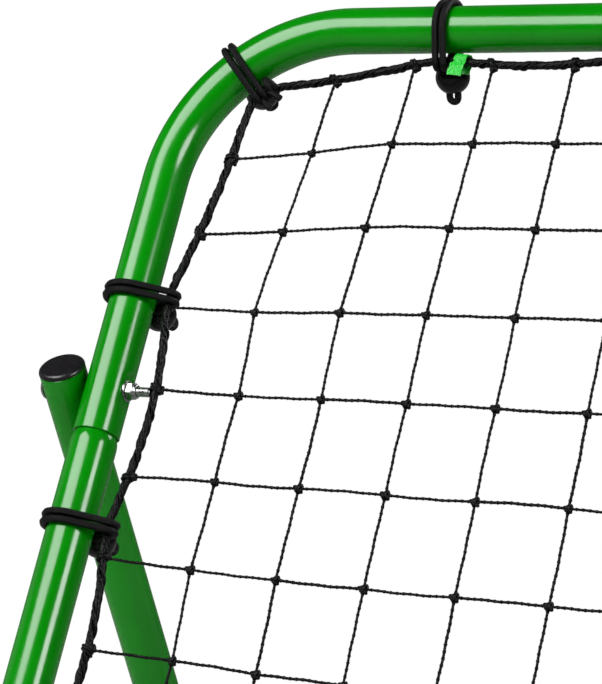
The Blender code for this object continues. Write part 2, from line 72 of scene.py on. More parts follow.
SEAM_Y = TOP - 0.368
PIVOT_Y = TOP - 0.329
NECK_LENGTH = 0.058
NECK_R = 0.0169
NECK_FLAT_R = NECK_R - 0.0021
# distance below the seam and radius, down the shoulder between neck and full tube
NECK_SHOULDER = (
    (0.0000, 0.0170),
    (0.0008, 0.0172),
    (0.0020, 0.0176),
    (0.0034, 0.0181),
    (0.0050, 0.01855),
    (0.0066, 0.0188),
    (0.0082, 0.01895),
    (0.0100, TUBE_R),
)
FLAT_R = TUBE_R - 0.0018
FLAT_REACH = 0.0150  # of a pressed flat to either side of its bolt
FLAT_PAST = 0.0012  # how far its ends lie past that
FLAT_FADE = 0.0042  # length over which they run out
ARM_X = HALF + 2 * TUBE_R + JOIN_GAP
ARM_TOP = 0.0175
CAP_R = 0.0192
CAP_HEIGHT = 0.0050
CAP_PLUG = 0.0038
BOLT_R = 0.0040
BOLT_LENGTH = 0.0955
BOLT_HEAD_R = 0.0100
BOLT_HEAD_HEIGHT = 0.0050
SQUARE_NECK = 0.0044
NUT_FLATS = 0.0130
NUT_HEIGHT = 0.0080
WASHER_R = 0.0085
WASHER_THICK = 0.0016
CORD_R = 0.0030
CORD_PAIR = 0.0064
BALL_R = 0.0140
STUB_LENGTH = 0.0090
STUB_HALF = 0.0037
TIE_XS = (-0.1825, 0.020, 0.1825)
TIE_YS = (0.154, 0.3574, 0.5555)
CORNER_TIE_ANGLE = math.radians(48.0)
ROPE_R = 0.0035
MESHES = 10
RAIL_END_MESH = 0.90
SIDE_END_MESH = 0.79
ROW_LIFTS = (0.0010, 0.0025, 0.0070, 0.0060, 0.0020, 0.0045, 0.0010, 0.0, 0.0)
RAIL_PULL = 1.05
SIDE_PULL = 0.95
CROSS_PULL = 0.15
TIE_STRAIGHT = 0.0080
RELAX_ROUNDS = 300
SPAN_STEPS = 4
MARKER_FROM_TIE = 0.0180
TIES = {
    "rail": {"rope": 0.0285, "ball": (0.0300, 0.0240)},
    "side": {"rope": 0.0330, "ball": (0.0075, 0.0327)},
    "corner": {"rope": 0.0310, "ball": (0.0040, 0.0334)},
}
ROPE_SAG = {
    ("corner", "rail"): 0.0030,
    ("corner", "side"): 0.0050,
    ("rail", "rail"): 0.0060,
    ("side", "side"): 0.0115,
}
FRONT_AXIS_Z = TUBE_R + JOIN_GAP + 2 * CORD_R
REAR_AXIS_Z = TUBE_R * math.cos(math.pi / TUBE_SIDES)
PIVOT_Z = FRONT_AXIS_Z + PIVOT_Y * math.cos(LEAN)
ARM_LENGTH = (PIVOT_Z - REAR_AXIS_Z) / math.cos(STAND_LEAN)
DEPTH = PIVOT_Y * math.sin(LEAN) + ARM_LENGTH * math.sin(STAND_LEAN)
FRONT_AXIS_Y = (FRONT_AXIS_Z - TUBE_R - DEPTH) / 2
PIVOT_WORLD_Y = FRONT_AXIS_Y + PIVOT_Y * math.sin(LEAN)
FRAME_AXES = Matrix.Translation((0.0, FRONT_AXIS_Y, FRONT_AXIS_Z)) @ Matrix.Rotation(
    math.pi / 2 - LEAN, 4, "X"
)
STAND_AXES = Matrix.Translation((0.0, PIVOT_WORLD_Y, PIVOT_Z)) @ Matrix.Rotation(
    math.pi / 2 + STAND_LEAN, 4, "X"
)

# ---- sizes of the fine surface
ROUND_SIDES = 64  # round a tube
BEND_STEPS = 32
CREASE = 0.0012  # rounding round a tube's pressed flat
THREAD_PITCH = 0.00125
THREAD_DEPTH = 0.00022
THREAD_LENGTH = 0.034
TWINE_R = 0.00148
TWINE_PITCH = 0.0105
TWINE_STEP = 0.0016
TWINE_BOW = 0.0009  # how far it may bow sideways
TWINE_LIFT = 0.0006  # and forwards or back
TWINE_THICKS = (0.94, 1.08)
TWINE_WAVE = 0.00022
GROOVE_SHARE = 0.76  # depth of the grooves between strands, as a share of the radius
KNOT_LOOP_R = 0.0027
KNOT_SIDES = 6
ROPE_PITCH = 0.0350
ROPE_STEP = 0.0020
# each strand's radius, and how far it lies from the rope's middle
ROPE_STRANDS = (
    (0.00200, 0.0014),
    (0.00178, 0.0019),
    (0.00186, 0.0017),
    (0.00152, 0.0023),
    (0.00134, 0.0026),
    (0.00112, 0.0029),
)
# by how much strands that lie loose swell, stray in their turn (radians) and part
STRAND_SWELL, STRAND_STRAY, STRAND_PARTING = 0.16, 0.5, 0.14
# how much thinner a tie squeezes them, and how much closer to the middle
STRAND_SQUEEZE, STRAND_DRAWN_IN = 0.14, 0.0002
TIE_GRIP = 0.0065  # half the width of a tie's grip, and beyond it the width of its fading
TIE_GRIP_FADE = 0.0060
HITCH_TURNS = 2
HITCH_STEPS = 14  # a turn
HITCH_PITCH = 0.0024
HITCH_SLANTS = (0.0012, 0.0028)
HITCH_BITES = (0.20, 0.45)  # of the twine's radius, outside the rope
HITCH_FROM_TIE = 0.0130  # closer to a tie than this, the tie hides the hitch
HITCH_KNOT_BELOW = ROPE_R + 0.0014
CORD_STEP = math.radians(7.0)  # round the tube
CORD_SIDES = 32
TAPE_THICK = 0.0007
TAPE_WIDTH = 0.0125
TAPE_FRONT = 0.0160
TAPE_BACK = 0.0080
TAPE_REACH = ROPE_R + 0.0014  # from the rope's middle
TAPE_COLUMNS = 26
TAPE_CRUMPLE = 0.00042
TAPE_WAVES_MEAN = 2.6
# tails of a corner tie's knot: three points (inward, along, front) and thickness in cords
CORNER_TAILS = (
    ((0.0370, 0.0080, 0.0020), (0.0435, 0.0110, 0.0030), (0.0490, 0.0128, 0.0010), 0.95),
    ((0.0380, 0.0000, -0.0010), (0.0440, 0.0005, -0.0015), (0.0478, 0.0010, -0.0030), 1.08),
)
CORD_RIBS = 8
RIB_DEPTH = 0.00030
RIM = 0.0004  # rounding of tube and cap edges
CAP_CROWN = 0.0006
CAP_ROUNDING = 0.0036
NYLON_STEP = 0.0008  # of a lock nut's collar inside its flats
OUT = Vector((0.0, 0.0, 1.0))  # out of the net
ALONG_TIE = Vector((0.0, 1.0, 0.0))  # in a tie's own axes, along the tube

# ---- camera, light
CAMERA_AT = (0.6939, -1.7839, 0.6561)
CAMERA_FORWARD = (-0.4579, 0.8850, -0.0846)
CAMERA_RIGHT = (0.8882, 0.4596, 0.0005)
LENS_MM = 138.98
SENSOR_MM = 36.0
# name, shape, direction from the object, roll, distance, width, height, brightness, in gloss too
LIGHTS = (
    ("key_softbox", "RECTANGLE", (-0.369, -0.682, 0.632), -21.3, 2.04, 1.83, 1.07, 8.4, True),
    ("right_round", "DISK", (0.912, -0.279, 0.300), 0.0, 3.0, 1.33, 1.33, 12.5, True),
    ("soft_fill", "RECTANGLE", (-0.22, -0.76, 0.61), 0.0, 3.0, 2.00, 2.00, 9.0, False),
    ("rear_softbox", "RECTANGLE", (0.50, 0.72, 0.48), 0.0, 3.0, 1.60, 1.40, 6.0, True),
    ("rear_fill", "RECTANGLE", (-0.35, 0.80, 0.48), 0.0, 3.0, 2.00, 2.00, 5.0, False),
)
LIGHTS_AIM = Vector((-0.30, 0.10, 0.60))
STUDIO_DARK = 0.02  # in front of the object
STUDIO_BEHIND = 0.11
STUDIO_BELOW = 0.28
STUDIO_LEFT = 0.30
FLOOR_R = 1.00
FLOOR_DROP = 0.0001


# ---- meshes


class Skin:
    """Points and faces collected for one piece. lay holds, for each face corner, how far it is
    round and along the cord or tube that it belongs to."""

    def __init__(self):
        self.points = []
        self.faces = []
        self.lay = []

    def rings(self, rings, loop=False, along=None):
        """Skins over rings of equal count. along gives each ring's distance from the start."""
        start, count = len(self.points), len(rings[0])
        for ring in rings:
            self.points.extend(ring)
        along = along or distances([ring[0] for ring in rings])
        girth = sum((rings[0][k] - rings[0][k - 1]).length for k in range(count))
        total = len(rings)
        for r in range(total if loop else total - 1):
            n = (r + 1) % total
            near, far = along[r], along[n] if n else 2 * along[r] - along[r - 1]
            for k in range(count):
                j = (k + 1) % count
                here, there = start + r * count, start + n * count
                self.faces.append((here + k, here + j, there + j, there + k))
                left, right = girth * k / count, girth * (k + 1) / count
                self.lay += [(left, near, 0.0), (right, near, 0.0)]
                self.lay += [(right, far, 0.0), (left, far, 0.0)]
        if not loop:
            for r, backwards in ((0, True), (total - 1, False)):
                face = [start + r * count + k for k in range(count)]
                self.faces.append(tuple(face[::-1] if backwards else face))
                self.lay += [(0.0, along[r], 0.0)] * count

    def piece(self, name, axes, body, look, slot, sharp_degrees):
        """Makes the object, in the row frame, riding on its body and standing for the CAD node
        of its name."""
        mesh = bpy.data.meshes.new(name)
        mesh.from_pydata([axes @ Vector(p) for p in self.points], [], self.faces)
        lay = mesh.attributes.new("lay", "FLOAT_VECTOR", "CORNER")
        lay.data.foreach_set("vector", [value for corner in self.lay for value in corner])
        mesh.validate()
        mesh.shade_smooth()
        mesh.set_sharp_from_angle(angle=math.radians(sharp_degrees))
        mesh.materials.append(look)
        obj = bpy.data.objects.new(name, mesh)
        bpy.context.scene.collection.objects.link(obj)
        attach(obj, body)
        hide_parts(name)
        return obj


def distances(points):
    """How far along a line each of its points lies."""
    found = [0.0]
    for first, second in zip(points, points[1:]):
        found.append(found[-1] + (second - first).length)
    return found


def smooth_step(value):
    value = max(0.0, min(1.0, value))
    return value * value * (3 - 2 * value)


def circle(radius, sides):
    return [
        (radius * math.cos(math.tau * k / sides), radius * math.sin(math.tau * k / sides))
        for k in range(sides)
    ]


def laid_outline(radius, strands, points_each, phase):
    """Section of a laid rope: as many round lobes as strands, turned by phase."""
    outline = []
    centre = radius / (1 + math.sin(math.pi / strands))
    strand_r = radius - centre
    for k in range(strands * points_each):
        turn = math.tau * k / (strands * points_each)
        sector = math.tau / strands
        off = (turn + sector / 2) % sector - sector / 2
        inside = max(0.0, strand_r**2 - (centre * math.sin(off)) ** 2)
        reach = max(centre * math.cos(off) + math.sqrt(inside), radius * GROOVE_SHARE)
        outline.append((reach * math.cos(turn + phase), reach * math.sin(turn + phase)))
    return outline


def sweep(skin, path, outline, up, loop=False):
    """Carries a section along a path. It is a list of (side, up) pairs, or a function that gives
    one for an index and a distance."""
    rings, along = [], distances(path)
    last = len(path) - 1
    for k, point in enumerate(path):
        before = path[k - 1] if (loop or k) else point
        after = path[(k + 1) % len(path)] if (loop or k < last) else point
        tangent = (after - before).normalized()
        side = tangent.cross(up).normalized()
        top = side.cross(tangent)
        section = outline(k, along[k]) if callable(outline) else outline
        rings.append([point + side * a + top * b for a, b in section])
    skin.rings(rings, loop=loop, along=along)


def resample(path, step, loop=False):
    """The same line with evenly spaced points."""
    line = path + path[:1] if loop else path
    reach = distances(line)
    count = max(2, round(reach[-1] / step))
    found, i = [], 0
    for k in range(count if loop else count + 1):
        wanted = reach[-1] * k / count
        while i < len(reach) - 2 and reach[i + 1] < wanted:
            i += 1
        share = (wanted - reach[i]) / (reach[i + 1] - reach[i])
        found.append(line[i].lerp(line[i + 1], share))
    return found, reach[-1]


def rounded(points, rounds, loop=False):
    """Corners cut off again and again, which leaves a smooth line through the middle of them."""
    for _ in range(rounds):
        cut = [] if loop else [points[0]]
        pairs = zip(points, points[1:] + points[:1]) if loop else zip(points, points[1:])
        for first, second in pairs:
            cut += [first.lerp(second, 0.25), first.lerp(second, 0.75)]
        points = cut if loop else cut + [points[-1]]
    return points


# ---- tubes


def flat_reach(offset, radius):
    """How far a tube's pressed side reaches, at a distance from the bolt."""
    depth = (TUBE_R - FLAT_R) * smooth_step((FLAT_REACH + FLAT_PAST - abs(offset)) / FLAT_FADE)
    return radius - depth


def soft_min(value, limit):
    """The lower of the two, with the corner between them rounded off."""
    near = max(CREASE - abs(value - limit), 0.0) / CREASE
    return min(value, limit) - near * near * CREASE / 4


def bolt_zone(middle, radius, way):
    """Stations across a pressed flat, close enough for its ends to fade smoothly."""
    steps = 26
    reach = FLAT_REACH + 0.0015
    offsets = [reach * (2 * k / steps - 1) for k in range(steps + 1)]
    return [(middle + way * offset, radius, flat_reach(offset, radius)) for offset in offsets]


def u_stations(half_width, turn_y, arm):
    """Stations (point, tangent, radius, flat) round a U, as in the CAD, with finer bends."""
    way = 1.0 if turn_y > arm[0][0] else -1.0
    stations = [((-half_width, y), (0.0, way), radius, flat) for y, radius, flat in arm]
    for side in (-1.0, 1.0):
        centre_x = side * (half_width - BEND_R)
        for k in range(BEND_STEPS + 1):
            share = k / BEND_STEPS if side < 0 else 1.0 - k / BEND_STEPS
            angle = share * math.pi / 2
            point = (
                centre_x + side * BEND_R * math.cos(angle),
                turn_y - way * BEND_R * (1.0 - math.sin(angle)),
            )
            tangent = (math.sin(angle), -side * way * math.cos(angle))
            stations.append((point, tangent, TUBE_R, TUBE_R))
    stations += [((half_width, y), (0.0, -way), radius, flat) for y, radius, flat in arm[::-1]]
    return stations


def tube_piece(name, body, stations, look, pressed_side=1.0):
    """A hollow tube with rounded rims at its two ends."""

    def ring(point, tangent, radius, flat):
        right = Vector((tangent[1], -tangent[0], 0.0)).normalized()
        centre = Vector((*point, 0.0))
        found = []
        for a, b in circle(radius, ROUND_SIDES):
            if flat < radius:
                a = pressed_side * soft_min(pressed_side * a, flat)
            found.append(centre + right * a + Vector((0.0, 0.0, b)))
        return found

    def shifted(station, by, thinner):
        (x, y), (tx, ty), radius, flat = station
        return ((x + tx * by, y + ty * by), (tx, ty), radius - thinner, flat - thinner)

    outer = [shifted(stations[0], 0.0, RIM), *stations[1:-1], shifted(stations[-1], 0.0, RIM)]
    outer.insert(1, shifted(stations[0], RIM, 0.0))
    outer.insert(-1, shifted(stations[-1], -RIM, 0.0))
    inner = [shifted(station, 0.0, TUBE_WALL) for station in stations]
    rings = [ring(*s) for s in outer] + [ring(*s) for s in inner[::-1]]
    skin = Skin()
    skin.rings(rings, loop=True)
    return skin.piece(name, *body, look, "green_paint", 35.0)


def build_tubes(looks):
    """The two halves of the frame and the stand, pressed flat round the pivot bolts."""
    frame_body, stand_body = (FRAME_AXES, "net_frame"), (STAND_AXES, "rear_stand")
    upper_arm = [(SEAM_Y, TUBE_R, TUBE_R), *bolt_zone(PIVOT_Y, TUBE_R, 1.0)]
    upper = u_stations(HALF, TOP, upper_arm)
    lower_arm = [(SEAM_Y + NECK_LENGTH, NECK_R, NECK_R)]
    for y, radius, flat in bolt_zone(PIVOT_Y, NECK_R, -1.0):
        lower_arm.append((y, radius, min(flat, NECK_FLAT_R) if flat < radius else flat))
    lower_arm += [(SEAM_Y - drop, radius, radius) for drop, radius in NECK_SHOULDER]
    lower = u_stations(HALF, 0.0, lower_arm)
    stand_arm = [(ARM_TOP, TUBE_R, TUBE_R), *bolt_zone(0.0, TUBE_R, -1.0)]
    stand = u_stations(ARM_X, -ARM_LENGTH, stand_arm)
    look = looks["green_paint"]
    tube_piece("upper_frame_tube", frame_body, upper, look)
    tube_piece("lower_frame_tube", frame_body, lower, look, pressed_side=-1.0)
    rear = tube_piece("rear_stand_tube", stand_body, stand, look)
    for vertex in rear.data.vertices:  # flattened a hair where it stands
        vertex.co.z = max(vertex.co.z, 0.0)


# ---- hardware


def lathed(profile, sides, loop=False):
    """A skin turned round X. Each row is (x, radius) or (x, function of the angle)."""
    rings = []
    for x, size in profile:
        ring = []
        for k in range(sides):
            turn = math.tau * k / sides
            radius = size(turn) if callable(size) else size
            ring.append(Vector((x, radius * math.cos(turn), radius * math.sin(turn))))
        rings.append(ring)
    skin = Skin()
    skin.rings(rings, loop=loop)
    return skin


def polygon_radius(flats, corners, limit):
    """Radius of a regular polygon given across its flats, turned down to a limit."""
    sector = math.tau / corners

    def radius(turn):
        return min(limit, flats / 2 / math.cos(turn % sector - sector / 2))

    return radius


def bolt_skin():
    """Carriage bolt along +X: domed head, square neck, plain shank and rolled thread."""
    dome, brim = 12, 0.0008
    profile = [(-BOLT_HEAD_HEIGHT, 0.0004)]
    for k in range(1, dome + 1):
        turn = math.pi / 2 * k / dome
        x = -brim - (BOLT_HEAD_HEIGHT - brim) * math.cos(turn)
        profile.append((x, BOLT_HEAD_R * math.sin(turn)))
    profile += [(-0.0002, BOLT_HEAD_R), (0.0, BOLT_HEAD_R - 0.0003)]
    square = polygon_radius(2 * BOLT_R, 4, BOLT_R * 1.3)
    profile += [(0.0, square), (SQUARE_NECK, square), (SQUARE_NECK + 0.0005, BOLT_R)]
    start = BOLT_LENGTH - THREAD_LENGTH
    threads = THREAD_LENGTH - 0.0012  # up to the point's chamfer
    profile.append((start, BOLT_R))
    steps = round(threads / THREAD_PITCH * 6)
    for k in range(steps + 1):
        x = start + threads * k / steps
        fade = min(1.0, k / 12)

        def threaded(turn, x=x, fade=fade):
            wave = 0.5 - 0.5 * math.cos(math.tau * (x / THREAD_PITCH) - turn)
            return BOLT_R - THREAD_DEPTH * fade * wave

        profile.append((x, threaded))
    profile += [(BOLT_LENGTH - 0.0004, BOLT_R * 0.86), (BOLT_LENGTH, BOLT_R * 0.74)]
    return lathed(profile, 32)


def nut_skin():
    """Hexagon lock nut with chamfered corners and a round collar over its nylon ring."""
    bore = BOLT_R + 0.0002
    chamfer, rounding = 0.0010, 0.0010
    corner = NUT_FLATS / 2 / math.cos(math.pi / 6)
    hexagon_top = NUT_HEIGHT * 0.70
    profile = [(0.0006, bore), (0.0, bore + 0.0006), (0.0, NUT_FLATS / 2 - 0.0003)]

    def chamfered(share):
        limit = NUT_FLATS / 2 + (corner - NUT_FLATS / 2) * share
        return polygon_radius(NUT_FLATS, 6, limit)

    shares = (0.25, 0.5, 0.75, 1.0)
    profile += [(0.0008 * share, chamfered(share)) for share in shares]
    profile += [(hexagon_top - chamfer * share, chamfered(share)) for share in (*shares[::-1], 0.0)]
    collar = NUT_FLATS / 2 - NYLON_STEP
    profile += [(hexagon_top + 0.0002, collar), (NUT_HEIGHT - rounding, collar)]
    for k in range(1, 6):
        turn = math.pi / 2 * k / 5
        x = NUT_HEIGHT - rounding * (1 - math.sin(turn))
        profile.append((x, collar - 0.0012 * (1 - math.cos(turn))))
    profile += [(NUT_HEIGHT - 0.0006, bore + 0.0010), (NUT_HEIGHT - 0.0008, bore)]
    return lathed(profile, 60, loop=True)


def washer_skin():
    """Flat washer along +X with broken edges."""
    bore, edge = BOLT_R + 0.0002, 0.0002
    profile = [(edge, bore), (0.0, bore + edge), (0.0, WASHER_R - edge), (edge, WASHER_R)]
    profile += [(WASHER_THICK - edge, WASHER_R), (WASHER_THICK, WASHER_R - edge)]
    profile += [(WASHER_THICK, bore + edge), (WASHER_THICK - edge, bore)]
    return lathed(profile, 48, loop=True)


def cap_skin():
    """End cap along +X: a plug in the tube, a flange with a rounded rim and a low crown."""
    plug_r = TUBE_R - TUBE_WALL - 2 * JOIN_GAP
    profile = [(-CAP_PLUG, plug_r - 0.0015), (-CAP_PLUG + 0.0015, plug_r), (JOIN_GAP, plug_r)]
    profile += [(JOIN_GAP, CAP_R - RIM), (JOIN_GAP + RIM, CAP_R)]
    rim_top = CAP_HEIGHT - CAP_CROWN
    for k in range(9):
        turn = math.pi / 2 * k / 8
        x = rim_top - CAP_ROUNDING * (1 - math.sin(turn))
        profile.append((x, CAP_R - CAP_ROUNDING * (1 - math.cos(turn))))
    for share in (0.9, 0.75, 0.6, 0.4, 0.2, 0.03):
        profile.append((rim_top + CAP_CROWN * (1 - share**2), (CAP_R - CAP_ROUNDING) * share))
    return lathed(profile, 64)


def build_hardware(looks):
    face = FLAT_R + JOIN_GAP
    for side, way in (("left", -1.0), ("right", 1.0)):
        inward = Matrix.Identity(4) if way < 0 else Matrix.Rotation(math.pi, 4, "Z")
        rows = (
            ("pivot_bolt_", bolt_skin(), ARM_X + face),
            ("pivot_washer_", washer_skin(), HALF - face),
            ("pivot_nut_", nut_skin(), HALF - face - WASHER_THICK - JOIN_GAP),
        )
        for name, skin, x in rows:
            axes = STAND_AXES @ Matrix.Translation((way * x, 0.0, 0.0)) @ inward
            skin.piece(name + side, axes, "rear_stand", looks["zinc"], "zinc", 30.0)
        upright = Matrix.Rotation(math.pi / 2, 4, "Z")
        axes = STAND_AXES @ Matrix.Translation((way * ARM_X, ARM_TOP, 0.0)) @ upright
        name = "stand_end_cap_" + side
        cap_skin().piece(name, axes, "rear_stand", looks["cap_plastic"], "black_plastic", 35.0)


# ---- ties


def axes_at(point, way):
    """Axes in the net's plane, at a point and with x along a direction."""
    turned = Matrix.Rotation(math.atan2(way.y, way.x), 4, "Z")
    return FRAME_AXES @ Matrix.Translation((*point, 0.0)) @ turned


def tie_places():
    """Every tie, anticlockwise from the top left corner: kind, point on the tube's axis, inward."""
    places = []
    across, down = math.cos(CORNER_TIE_ANGLE), math.sin(CORNER_TIE_ANGLE)
    for way_x, way_y in ((-1, 1), (-1, -1), (1, -1), (1, 1)):
        inward = Vector((-way_x * across, -way_y * down))
        bend = Vector((way_x * (HALF - BEND_R), TOP / 2 + way_y * (TOP / 2 - BEND_R)))
        places.append(("corner", bend - inward * BEND_R, inward))
        if way_x == way_y:
            rail_y = TOP if way_y > 0 else 0.0
            line = [("rail", Vector((-way_x * x, rail_y)), Vector((0, -way_y))) for x in TIE_XS]
        else:
            ys = TIE_YS[::-1] if way_x < 0 else TIE_YS
            line = [("side", Vector((way_x * HALF, y)), Vector((-way_x, 0))) for y in ys]
        places += line
    return places


def tie_line(kind):
    """Middle line (inward, front) of a tie's cords, from inside the ball, round the tube and the
    rope, and back to the ball."""
    rope = TIES[kind]["rope"]
    around_tube = TUBE_R + JOIN_GAP + CORD_R
    around_rope = ROPE_R + JOIN_GAP + CORD_R
    inward_by, behind = TIES[kind]["ball"]
    ball = Vector((inward_by, -behind))
    clear_ball = BALL_R + CORD_R
    away = math.atan2(behind, inward_by)
    across = around_tube**2 + ball.length**2 - clear_ball**2
    off = math.acos(across / (2 * around_tube * ball.length))
    tangent_angle = math.acos((around_tube - around_rope) / rope)
    start = math.tau - max(away + off, tangent_angle + math.radians(2.0))
    into_ball = ball.normalized() * (ball.length - BALL_R * 0.75)
    line = [into_ball]
    steps = math.ceil((start - tangent_angle) / CORD_STEP)
    for k in range(steps + 1):
        angle = start + (tangent_angle - start) * k / steps
        line.append(Vector((math.cos(angle), math.sin(angle))) * around_tube)
    rope_steps = 12
    for k in range(rope_steps + 1):
        angle = tangent_angle * (1.0 - 2.0 * k / rope_steps)
        line.append(Vector((rope, 0.0)) + Vector((math.cos(angle), math.sin(angle))) * around_rope)
    goal = ball - ball.normalized() * BALL_R * 0.55
    run = goal - line[-1]
    line += [line[-1] + run * k / 5 for k in range(1, 6)]
    return line


def ribbed(radius, sides, ribs, depth):
    """Section of a cord with shallow ribs along it."""
    outline = []
    for k in range(sides):
        turn = math.tau * k / sides
        size = radius - depth * (0.5 - 0.5 * math.cos(ribs * turn))
        outline.append((size * math.cos(turn), size * math.sin(turn)))
    return outline


def stub_line(kind):
    """The doubled cord where it comes out of the ball and turns back: (inward, along, front)."""
    inward_by, behind = TIES[kind]["ball"]
    ball = Vector((inward_by, 0.0, -behind))
    out = ball.normalized()
    across = ALONG_TIE * STUB_HALF
    bend_from = BALL_R + STUB_LENGTH - CORD_R - STUB_HALF
    inside = BALL_R * 0.6
    line = [ball + out * inside - across, ball + out * bend_from - across]
    for k in range(1, 8):
        turn = math.pi * k / 8
        reach = bend_from + STUB_HALF * math.sin(turn)
        line.append(ball + out * reach - across * math.cos(turn))
    line += [ball + out * bend_from + across, ball + out * inside + across]
    return line


def tie_skin(kind, number):
    """Two strands of sheathed elastic side by side, and their turn below the ball."""
    skin = Skin()
    chance = random.Random(700 + number)
    outline = ribbed(CORD_R, CORD_SIDES, CORD_RIBS, RIB_DEPTH)
    line = tie_line(kind)
    total = len(line) - 1
    for way in (-1.0, 1.0):
        spread = chance.uniform(-0.0001, 0.0004)
        middle = chance.uniform(0.35, 0.55)
        path = []
        for k, point in enumerate(line):
            share = k / total
            bulge = math.exp(-(((share - middle) / 0.16) ** 2))
            side = way * (CORD_PAIR / 2 + spread * bulge)
            path.append(Vector((point.x, side, point.y)))
        sweep(skin, path, outline, ALONG_TIE)
    inward_by, behind = TIES[kind]["ball"]
    flat_normal = Vector((behind, 0.0, inward_by)).normalized()
    sweep(skin, stub_line(kind), outline, flat_normal)
    if kind == "corner":
        corner_knot(skin, outline)
    return skin


def corner_knot(skin, outline):
    """At a corner the elastic also takes a turn round the rope, and its knot has two tails."""
    rope = TIES["corner"]["rope"]
    around = ROPE_R + CORD_R
    beside, width, steps = 0.0078, 0.0062, 33
    coil = []
    for k in range(steps + 1):
        turn = math.radians(-150 + 17 * k)
        along = beside + width * k / steps
        coil.append(Vector((rope + around * math.cos(turn), along, around * math.sin(turn))))
    sweep(skin, coil, outline, ALONG_TIE)
    for *points, size in CORNER_TAILS:
        tail = rounded([Vector(point) for point in points], 2)

        def closing(k, distance, tail=tail, size=size):
            narrower = size * (0.72 if k == len(tail) - 1 else 1.0)
            return [(a * narrower, b * narrower) for a, b in outline]

        sweep(skin, tail, closing, Vector((0.1, 0.2, 1.0)))


def ball_skin(kind):
    """A moulded ball with a slightly countersunk bore where the cord comes out."""
    profile = []
    steps = 22
    first, last = math.radians(-88.0), math.radians(62.0)
    for k in range(steps + 1):
        turn = first + (last - first) * k / steps
        profile.append((BALL_R * math.sin(turn), BALL_R * math.cos(turn)))
    profile += [(BALL_R * 0.86, BALL_R * 0.44), (BALL_R * 0.80, BALL_R * 0.42)]
    skin = lathed(profile, 40)
    inward_by, behind = TIES[kind]["ball"]
    turn = Matrix.Rotation(math.atan2(behind, inward_by), 4, "Y")
    skin.points = [turn @ p for p in skin.points]
    return skin


def build_ties(looks):
    """Sixteen ties round the frame, each a doubled cord and its ball."""
    for number, (kind, point, inward) in enumerate(tie_places(), start=1):
        axes = axes_at(point, inward)
        name = f"tie_cord_{number:02d}"
        tie_skin(kind, number).piece(name, axes, "net_frame", looks["elastic"], "elastic", 50.0)
        inward_by, behind = TIES[kind]["ball"]
        axes = axes @ Matrix.Translation((inward_by, 0.0, -behind))
        name = f"tie_ball_{number:02d}"
        look = looks["ball_plastic"]
        ball_skin(kind).piece(name, axes, "net_frame", look, "black_plastic", 35.0)


# ---- net


def rope_line():
    """Points round the border rope, and for each tie the number of the point just after it."""
    ties = tie_places()
    points, afters = [], []
    for k, (kind, point, inward) in enumerate(ties):
        next_kind, next_point, next_inward = ties[(k + 1) % len(ties)]
        onward = Vector((-inward.y, inward.x)) * -TIE_STRAIGHT
        next_onward = Vector((-next_inward.y, next_inward.x)) * -TIE_STRAIGHT
        start = point + inward * TIES[kind]["rope"] + onward
        end = next_point + next_inward * TIES[next_kind]["rope"] - next_onward
        sag = ROPE_SAG[tuple(sorted((kind, next_kind)))]
        across = Vector((-(end - start).y, (end - start).x)).normalized()
        afters.append(len(points))
        for step in range(SPAN_STEPS + 1):
            share = step / SPAN_STEPS
            points.append(start.lerp(end, share) + across * sag * 4 * share * (1 - share))
    return points, afters


def edge_points(line, end_mesh, shifts):
    """Where the net's meshes hang on one edge of the rope: evenly, with a short first and last
    mesh, and then each moved along the rope by its shift."""
    lengths = distances(line)
    mesh = lengths[-1] / (MESHES - 2 + 2 * end_mesh)
    found = []
    for k in range(MESHES - 1):
        wanted = mesh * (k + end_mesh) + shifts[k]
        i = next(n for n, length in enumerate(lengths) if length >= wanted) - 1
        share = (wanted - lengths[i]) / (lengths[i + 1] - lengths[i])
        found.append(line[i].lerp(line[i + 1], share))
    return found


def weighted(values, weights):
    """The mean of the values, each counting by its weight."""
    return sum(value * weight for value, weight in zip(values, weights)) / sum(weights)


def net_knots():
    """Knots of the stretched net by column and row, each in balance between its neighbours."""
    rope, afters = rope_line()
    corners = [afters[k] for k in range(0, len(afters), 4)] + [len(rope)]
    end_meshes = (SIDE_END_MESH, RAIL_END_MESH) * 2
    even = [0.0] * (MESHES - 1)
    shifts = ([-lift for lift in ROW_LIFTS], even, ROW_LIFTS[::-1], even)
    left, bottom, right, top = (
        edge_points(rope[a:b], *how) for a, b, *how in zip(corners, corners[1:], end_meshes, shifts)
    )
    knots = {}
    for k in range(1, MESHES):
        knots[0, k], knots[MESHES, k] = left[MESHES - 1 - k], right[k - 1]
        knots[k, 0], knots[k, MESHES] = bottom[k - 1], top[MESHES - 1 - k]
    inner = [(i, j) for i in range(1, MESHES) for j in range(1, MESHES)]
    for i, j in inner:
        knots[i, j] = Vector((knots[i, 0].x, knots[0, j].y))
    for _ in range(RELAX_ROUNDS):
        for i, j in inner:
            sides = [knots[i - 1, j], knots[i + 1, j]]
            ends = [knots[i, j - 1], knots[i, j + 1]]
            side_pulls = [SIDE_PULL if n in (0, MESHES) else 1.0 for n in (i - 1, i + 1)]
            end_pulls = [RAIL_PULL if n in (0, MESHES) else 1.0 for n in (j - 1, j + 1)]
            x = weighted([p.x for p in sides + ends], side_pulls + [CROSS_PULL] * 2)
            y = weighted([p.y for p in ends + sides], end_pulls + [CROSS_PULL] * 2)
            knots[i, j] = Vector((x, y))
    return knots


